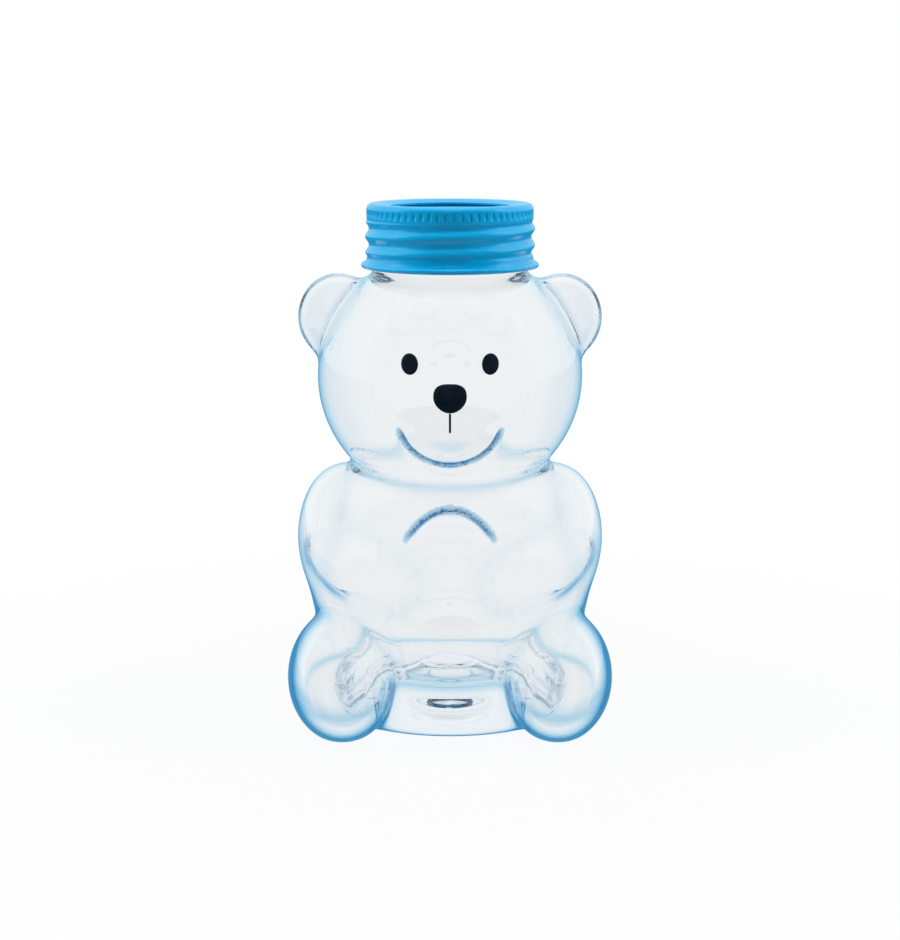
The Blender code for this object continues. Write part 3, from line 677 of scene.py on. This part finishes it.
def band_mesh():
    """The formed band: one thin sheet with its knurl and beads, and the roll along its lower edge."""
    steps = KNURL_COUNT * RIB_STEPS
    angles = np.arange(steps) * 2 * math.pi / steps
    turns = (angles - THREAD_START_ANGLE) / (2 * math.pi)
    across = np.sin(angles * KNURL_COUNT / 2) ** 2 * NOTCH_NARROWNESS
    rows = band_outside()
    outer, inner = [], []
    for number, (radius, height, beads, knurl) in enumerate(rows):
        phase = 2 * math.pi * (height - bead_height(turns)) / THREAD_PITCH
        waved = radius + BEAD_HEIGHT / 2 * beads * np.cos(phase)
        reach = waved - KNURL_DEPTH * np.sqrt(np.maximum(knurl - across, 0))
        outer.append(ring_points(reach, height, angles))
        ahead, behind = rows[min(number + 1, len(rows) - 1)], rows[max(number - 1, 0)]
        along = Vector((ahead[0] - behind[0], ahead[1] - behind[1])).normalized()
        inner.append(ring_points(waved + along.y * SHEET, height - along.x * SHEET, angles))
    sheet = grid_mesh("screw_band", outer + inner[::-1])
    roll = []
    middle = SKIRT_RADIUS + ROLL_REACH - SHEET / 2
    half = ROLL_DIAMETER / 2
    for step in range(ROLL_STEPS):
        angle = 2 * math.pi * step / ROLL_STEPS
        roll.append((middle + half * math.cos(angle), ROLL_MIDDLE + half * math.sin(angle)))
    shape = bmesh.new()
    shape.from_mesh(sheet)
    shape.from_mesh(turned_mesh("roll", roll))
    shape.to_mesh(sheet)
    shape.free()
    return sheet


def disc_mesh():
    """The pressed lid disc: a panel with a soft crown, a rounded step and a flat rim."""
    rim = DISC_DIAMETER / 2
    panel = DISC_STEP_SHARE * rim
    shoulder = panel + DISC_SLOPE_SHARE * rim
    low = DISC_BOTTOM - DISC_RECESS
    outline = [
        (DISC_PIN, low + SHEET),
        (panel, low + SHEET),
        (shoulder, DISC_BOTTOM + SHEET),
        (rim, DISC_BOTTOM + SHEET),
        (rim, DISC_BOTTOM),
        (shoulder + SHEET / 2, DISC_BOTTOM),
        (panel + SHEET / 2, low),
        (DISC_PIN, low),
    ]
    return turned_mesh("lid_disc", rounded(outline, SHEET * DISC_CORNER_SHARE, steps=5))


def seal_mesh():
    """The soft ring on the lip of the glass."""
    middle = (NECK_BORE + NECK_DIAMETER) / 4
    half = SEAL_WIDTH / 2
    low, high = SEAL_BOTTOM, SEAL_BOTTOM + SEAL_THICKNESS
    outline = [(middle - half, low), (middle + half, low), (middle + half, high), (middle - half, high)]
    return turned_mesh("sealing_ring", rounded(outline, SHEET))


def front_points(across, up, level):
    """Where lines along Y through flat points come in to that distance off the front of the glass."""
    inside, outside = np.zeros(len(across)), np.full(len(across), -HEAD_DEPTH)
    for _ in range(PRINT_SEARCHES):
        middle = (inside + outside) / 2
        beyond = skin_distance(np.column_stack([across, middle, up])) > level
        outside = np.where(beyond, middle, outside)
        inside = np.where(beyond, inside, middle)
    return np.column_stack([across, middle, up])


def print_mesh(name, outline, crown, rings=12):
    """A fired print with a rounded edge: rings of points from its outline inwards, laid on the glass."""
    outline = np.array(outline)
    middle = outline.mean(axis=0)
    layers = []
    for ring in range(rings + 1):
        share = math.cos(math.pi / 2 * ring / (rings + 0.5))
        flat = middle + (outline - middle) * share
        rise = PRINT_THICKNESS * (1 - share**PRINT_ROUNDNESS) ** 0.5 + crown * (1 - share**2)
        layers.append(front_points(flat[:, 0], flat[:, 1], PRINT_GAP + rise))
    count = len(outline)
    points = np.concatenate(layers)
    top, back = len(points), len(points) + 1
    ends = front_points(middle[None, 0], middle[None, 1], PRINT_GAP + PRINT_THICKNESS + crown)
    ends = np.concatenate([ends, front_points(middle[None, 0], middle[None, 1], PRINT_GAP)])
    faces = []
    for spoke in range(count):
        after = (spoke + 1) % count
        for ring in range(rings):
            start = ring * count
            faces.append(
                (start + spoke, start + after, start + count + after, start + count + spoke)
            )
        faces.append((rings * count + spoke, rings * count + after, top))
        faces.append((after, spoke, back))
    mesh = bpy.data.meshes.new(name)
    mesh.from_pydata(np.concatenate([points, ends]).tolist(), [], faces)
    mesh.update()
    face_out(mesh)
    return mesh


def oval(middle_x, middle_z, width, height, steps=72):
    """The outline of an eye, seen from the front."""
    angles = np.arange(steps) * 2 * math.pi / steps
    return np.column_stack(
        [middle_x + width / 2 * np.cos(angles), middle_z + height / 2 * np.sin(angles)]
    )


def nose_outline(steps=96):
    """A soft shield: broad and flat above, narrowing below."""
    angles = np.arange(steps) * 2 * math.pi / steps
    across, up = np.cos(angles), np.sin(angles)
    square = 1 + NOSE_SQUARE_SHARE * (1 - np.cos(4 * angles)) * (up > 0) / 2
    above, below = np.clip(up, 0, 1), np.clip(-up, 0, 1)
    narrow = 1 - NOSE_NARROW_SHARE * below**NOSE_TAPER + NOSE_BROAD_SHARE * above
    return np.column_stack(
        [
            NOSE_WIDTH / 2 * across * square * narrow,
            NOSE_MIDDLE + NOSE_HEIGHT / 2 * up * square * NOSE_SQUASH,
        ]
    )


def mouth_outline(steps=20):
    """A thin line with round ends, as one closed outline."""
    half = MOUTH_WIDTH / 2
    top = NOSE_MIDDLE - NOSE_HEIGHT / 2
    bottom = top - MOUTH_LENGTH + half
    outline = [(half, bottom + (top - bottom) * step / steps) for step in range(steps + 1)]
    outline += [(-half, top - (top - bottom) * step / steps) for step in range(steps + 1)]
    for step in range(1, CURVE_STEPS):
        angle = math.pi + math.pi * step / CURVE_STEPS
        outline.append((half * math.cos(angle), bottom + half * math.sin(angle)))
    return outline


# Finishes
def new_finish(name, colour):
    """A new material with its nodes and links, and the colour that plain views show."""
    made = bpy.data.materials.new(name)
    made.use_nodes = True
    made.diffuse_color = (*colour, 1)
    return made, made.node_tree.nodes, made.node_tree.links


def noise_node(nodes, links, scale, detail=3.0, roughness=0.5):
    """Noise in the object's own space."""
    where = nodes.new("ShaderNodeTexCoord")
    noise = nodes.new("ShaderNodeTexNoise")
    noise.inputs["Scale"].default_value = scale
    noise.inputs["Detail"].default_value = detail
    noise.inputs["Roughness"].default_value = roughness
    links.new(where.outputs["Object"], noise.inputs["Vector"])
    return noise


def bump_from(nodes, links, height, shader, strength, distance):
    """Bends a shader's normal by a height."""
    bump = nodes.new("ShaderNodeBump")
    bump.inputs["Strength"].default_value = strength
    bump.inputs["Distance"].default_value = distance
    links.new(height, bump.inputs["Height"])
    links.new(bump.outputs["Normal"], shader.inputs["Normal"])


def ranged(nodes, links, value, low, high):
    """A 0 to 1 value spread over low to high."""
    spread = nodes.new("ShaderNodeMapRange")
    spread.inputs["To Min"].default_value = low
    spread.inputs["To Max"].default_value = high
    links.new(value, spread.inputs["Value"])
    return spread.outputs["Result"]


def colour_ramp(nodes, links, value, stops):
    """A 0 to 1 value turned into colours."""
    ramp = nodes.new("ShaderNodeValToRGB")
    elements = ramp.color_ramp.elements
    while len(elements) < len(stops):
        elements.new(0.5)
    for element, (position, colour) in zip(elements, stops):
        element.position = position
        element.color = (*colour, 1)
    links.new(value, ramp.inputs["Fac"])
    return ramp.outputs["Color"]


def clouded(nodes, links, clouds, shader, colours, roughnesses):
    """Lets noise vary a shader between two colours and two roughnesses."""
    stops = tuple(zip((0.3, 0.7), colours))
    links.new(colour_ramp(nodes, links, clouds, stops), shader.inputs["Base Color"])
    links.new(ranged(nodes, links, clouds, *roughnesses), shader.inputs["Roughness"])


def glass_finish():
    """Clear moulded glass: painted blue shade at its edges, darker towards its foot, and painted shade
    in its folds, a faint real blue cast where it is thick, and a faint waviness.
    """
    made, nodes, links = new_finish("clear_glass", (0.80, 0.93, 0.98))
    shader, output = nodes["Principled BSDF"], nodes["Material Output"]
    shader.inputs["Transmission Weight"].default_value = 1.0
    shader.inputs["IOR"].default_value = 1.5
    # Painted shade: the outside is tinted dark blue where it is seen edge on, and in its folds
    edge = nodes.new("ShaderNodeLayerWeight")
    edge.inputs["Blend"].default_value = 0.5
    outside = nodes.new("ShaderNodeAttribute")
    outside.attribute_name = "edges"
    rim = nodes.new("ShaderNodeMath")
    rim.operation = "MULTIPLY"
    links.new(edge.outputs["Facing"], rim.inputs[0])
    links.new(outside.outputs["Fac"], rim.inputs[1])
    painted_fold_shade = nodes.new("ShaderNodeAttribute")
    painted_fold_shade.attribute_name = "painted_fold_shade"
    tint = nodes.new("ShaderNodeMix")
    tint.data_type = "RGBA"
    tint.blend_type = "MULTIPLY"
    tint.inputs["Factor"].default_value = 1.0
    links.new(colour_ramp(nodes, links, rim.outputs["Value"], EDGE_SHADE_TINTS), tint.inputs[6])
    links.new(colour_ramp(nodes, links, painted_fold_shade.outputs["Fac"], FOLD_SHADE_TINTS), tint.inputs[7])
    links.new(tint.outputs[2], shader.inputs["Base Color"])
    waves = noise_node(nodes, links, 38.0, detail=1.5, roughness=0.4)
    bump_from(nodes, links, waves.outputs["Fac"], shader, strength=0.25, distance=0.0004)
    fine = noise_node(nodes, links, 160.0, detail=2.0)
    links.new(ranged(nodes, links, fine.outputs["Fac"], 0.0, 0.03), shader.inputs["Roughness"])
    depth = nodes.new("ShaderNodeVolumeAbsorption")
    depth.inputs["Color"].default_value = (0.30, 0.62, 0.85, 1)
    depth.inputs["Density"].default_value = 1.5
    links.new(depth.outputs["Volume"], output.inputs["Volume"])
    path = nodes.new("ShaderNodeLightPath")
    through = nodes.new("ShaderNodeBsdfTransparent")
    through.inputs["Color"].default_value = (0.88, 0.94, 0.97, 1)
    mix = nodes.new("ShaderNodeMixShader")
    links.new(path.outputs["Is Shadow Ray"], mix.inputs["Fac"])
    links.new(shader.outputs["BSDF"], mix.inputs[1])
    links.new(through.outputs["BSDF"], mix.inputs[2])
    links.new(mix.outputs["Shader"], output.inputs["Surface"])
    return made


def lacquer_finish():
    """Satin blue lacquer on formed sheet: a slight cloudiness, fine orange peel and a clear coat."""
    made, nodes, links = new_finish("blue_lacquer", (0.002, 0.26, 0.56))
    shader = nodes["Principled BSDF"]
    clouds = noise_node(nodes, links, 60.0, detail=4.0).outputs["Fac"]
    colours = ((0.0, 0.285, 0.57), (0.001, 0.320, 0.61))
    clouded(nodes, links, clouds, shader, colours, (0.16, 0.24))
    shader.inputs["Specular IOR Level"].default_value = 1.0
    shader.inputs["Specular Tint"].default_value = (0.45, 0.82, 1.0, 1)
    shader.inputs["Coat Weight"].default_value = 0.4
    shader.inputs["Coat Roughness"].default_value = 0.06
    peel = noise_node(nodes, links, 1500.0, detail=2.0)
    bump_from(nodes, links, peel.outputs["Fac"], shader, strength=0.12, distance=0.0001)
    return made


def enamel_finish():
    """Glossy black enamel with the faint unevenness of a fired print."""
    made, nodes, links = new_finish("black_enamel", (0.005, 0.007, 0.010))
    shader = nodes["Principled BSDF"]
    shader.inputs["Specular IOR Level"].default_value = 0.16
    clouds = noise_node(nodes, links, 500.0).outputs["Fac"]
    colours = ((0.003, 0.005, 0.008), (0.006, 0.008, 0.012))
    clouded(nodes, links, clouds, shader, colours, (0.22, 0.34))
    bump_from(nodes, links, clouds, shader, strength=0.1, distance=0.0001)
    return made


def seal_finish():
    """Matt translucent silicone with a fine grain."""
    made, nodes, links = new_finish("seal_silicone", (0.86, 0.88, 0.88))
    shader = nodes["Principled BSDF"]
    grain = noise_node(nodes, links, 900.0).outputs["Fac"]
    colours = ((0.80, 0.83, 0.83), (0.90, 0.91, 0.91))
    clouded(nodes, links, grain, shader, colours, (0.5, 0.65))
    shader.inputs["Subsurface Weight"].default_value = 0.15
    shader.inputs["Subsurface Radius"].default_value = (0.002, 0.002, 0.002)
    bump_from(nodes, links, grain, shader, strength=0.1, distance=0.0001)
    return made


# Studio
def seen_share(nodes, links):
    """1 for rays that show the background: from the camera, in a reflection or through glass."""
    path = nodes.new("ShaderNodeLightPath")
    share = path.outputs["Is Camera Ray"]
    for ray in ("Is Glossy Ray", "Is Transmission Ray"):
        either = nodes.new("ShaderNodeMath")
        either.operation = "MAXIMUM"
        links.new(share, either.inputs[0])
        links.new(path.outputs[ray], either.inputs[1])
        share = either.outputs["Value"]
    return share


def backdrop_tone(nodes, links):
    """A node that is white, but for rays off a surface the tone that its inputs[7] is given."""
    path = nodes.new("ShaderNodeLightPath")
    tone = nodes.new("ShaderNodeMix")
    tone.data_type = "RGBA"
    tone.inputs[6].default_value = (1, 1, 1, 1)
    links.new(path.outputs["Is Reflection Ray"], tone.inputs["Factor"])
    return tone


def room_tone(nodes, links):
    """The tones for reflections: a dim blue room in front, and a pale one beside and behind."""
    where = nodes.new("ShaderNodeTexCoord")
    parts = nodes.new("ShaderNodeSeparateXYZ")
    links.new(where.outputs["Generated"], parts.inputs[0])
    spread = nodes.new("ShaderNodeMapRange")
    spread.inputs["From Min"].default_value = -1.0
    links.new(parts.outputs["Y"], spread.inputs["Value"])
    return colour_ramp(nodes, links, spread.outputs["Result"], REFLECTED_TONES)


def build_world():
    """Dim soft light from all round, and the white backdrop for the rays that show it."""
    world = bpy.data.worlds.new("studio")
    bpy.context.scene.world = world
    world.use_nodes = True
    nodes, links = world.node_tree.nodes, world.node_tree.links
    soft = nodes["Background"]
    soft.inputs["Color"].default_value = (*SOFT_COLOUR, 1)
    soft.inputs["Strength"].default_value = SOFT_STRENGTH
    tone = backdrop_tone(nodes, links)
    links.new(room_tone(nodes, links), tone.inputs[7])
    white = nodes.new("ShaderNodeBackground")
    links.new(tone.outputs[2], white.inputs["Color"])
    white.inputs["Strength"].default_value = 1.0
    mix = nodes.new("ShaderNodeMixShader")
    links.new(seen_share(nodes, links), mix.inputs["Fac"])
    links.new(soft.outputs["Background"], mix.inputs[1])
    links.new(white.outputs["Background"], mix.inputs[2])
    links.new(mix.outputs["Shader"], nodes["World Output"].inputs["Surface"])


def build_floor():
    """A wide pale disc that shows as the white backdrop, less the object's shadow, and as a painted blue
    in reflections.
    """
    shape = bmesh.new()
    bmesh.ops.create_circle(shape, cap_ends=True, segments=FLOOR_SIDES, radius=FLOOR_RADIUS)
    mesh = bpy.data.meshes.new("studio_floor")
    shape.to_mesh(mesh)
    shape.free()
    made, nodes, links = new_finish("studio_floor", (0.8, 0.8, 0.8))
    shader = nodes["Principled BSDF"]
    shader.inputs["Base Color"].default_value = (*FLOOR_COLOUR, 1)
    shader.inputs["Roughness"].default_value = 1.0
    shader.inputs["Specular IOR Level"].default_value = 0.0
    tone = backdrop_tone(nodes, links)
    # Painted reflection: in reflections the pale floor shows as this blue
    tone.inputs[7].default_value = (*FLOOR_PAINTED_REFLECTION, 1)
    backdrop = nodes.new("ShaderNodeEmission")
    links.new(tone.outputs[2], backdrop.inputs["Color"])
    backdrop.inputs["Strength"].default_value = 1.0
    where = nodes.new("ShaderNodeTexCoord")
    away = nodes.new("ShaderNodeVectorMath")
    away.operation = "LENGTH"
    links.new(where.outputs["Object"], away.inputs[0])
    spread = nodes.new("ShaderNodeMapRange")
    spread.interpolation_type = "SMOOTHSTEP"
    spread.inputs["From Min"].default_value = SHADOW_NEAR
    spread.inputs["From Max"].default_value = SHADOW_FAR
    spread.inputs["To Min"].default_value = BACKDROP_SHARE
    links.new(away.outputs["Value"], spread.inputs["Value"])
    share = nodes.new("ShaderNodeMath")
    share.operation = "MULTIPLY"
    links.new(spread.outputs["Result"], share.inputs[0])
    links.new(seen_share(nodes, links), share.inputs[1])
    mix = nodes.new("ShaderNodeMixShader")
    links.new(share.outputs["Value"], mix.inputs["Fac"])
    links.new(shader.outputs["BSDF"], mix.inputs[1])
    links.new(backdrop.outputs["Emission"], mix.inputs[2])
    links.new(mix.outputs["Shader"], nodes["Material Output"].inputs["Surface"])
    mesh.materials.append(made)
    floor = bpy.data.objects.new("studio_floor", mesh)
    floor.location.z = -FLOOR_DROP
    bpy.context.scene.collection.objects.link(floor)


def area_light(name, place, width, watts):
    """A square lamp that lights surfaces, but isn't seen in them or through them."""
    data = bpy.data.lights.new(name, "AREA")
    data.shape = "SQUARE"
    data.size = width
    data.energy = watts
    light = bpy.data.objects.new(name, data)
    light.visible_glossy = False
    light.visible_transmission = False
    light.location = place
    aim = Vector(LAMP_TARGET) - Vector(place)
    light.rotation_euler = aim.to_track_quat("-Z", "Y").to_euler()
    bpy.context.scene.collection.objects.link(light)


def build_studio():
    """World, floor, lamps, and the camera as it stood for the photograph."""
    build_world()
    build_floor()
    for lamp in LAMPS:
        area_light(*lamp)
    data = bpy.data.cameras.new("photo_view")
    data.lens = CAMERA_LENS
    data.sensor_width = CAMERA_SENSOR
    camera = bpy.data.objects.new("photo_view", data)
    camera.location = CAMERA_PLACE
    camera.rotation_euler = (CAMERA_PITCH, 0, 0)
    bpy.context.scene.collection.objects.link(camera)
    bpy.context.scene.camera = camera
    scene = bpy.context.scene
    scene.view_settings.view_transform = "Standard"
    scene.cycles.max_bounces = LIGHT_BOUNCES
    scene.cycles.glossy_bounces = LIGHT_BOUNCES
    scene.cycles.transmission_bounces = LIGHT_BOUNCES


def build_pieces():
    """All visible pieces, each on its body and in place of its CAD node."""
    glass = glass_finish()
    lacquer = lacquer_finish()
    enamel = enamel_finish()
    silicone = seal_finish()
    placed("bear_glass", blown_mesh(), glass, "glass", "glass_bear")
    for side, word in ((-1, "left"), (1, "right")):
        outline = oval(side * EYE_SPACING / 2, EYES_MIDDLE, EYE_WIDTH, EYE_HEIGHT)
        mesh = print_mesh("eye", outline, EYE_CROWN)
        placed("eye_print_" + word, mesh, enamel, "glass", "eye_" + word)
    mesh = print_mesh("nose", nose_outline(), NOSE_CROWN)
    placed("nose_print", mesh, enamel, "glass", "nose")
    mesh = print_mesh("mouth", mouth_outline(), 0, rings=4)
    placed("mouth_print", mesh, enamel, "glass", "mouth_line")
    placed("formed_band", band_mesh(), lacquer, "band", "screw_band")
    placed("pressed_disc", disc_mesh(), lacquer, "lid_insert", "lid_disc")
    placed("soft_seal", seal_mesh(), silicone, "lid_insert", "sealing_ring")


build_studio()
build_pieces()
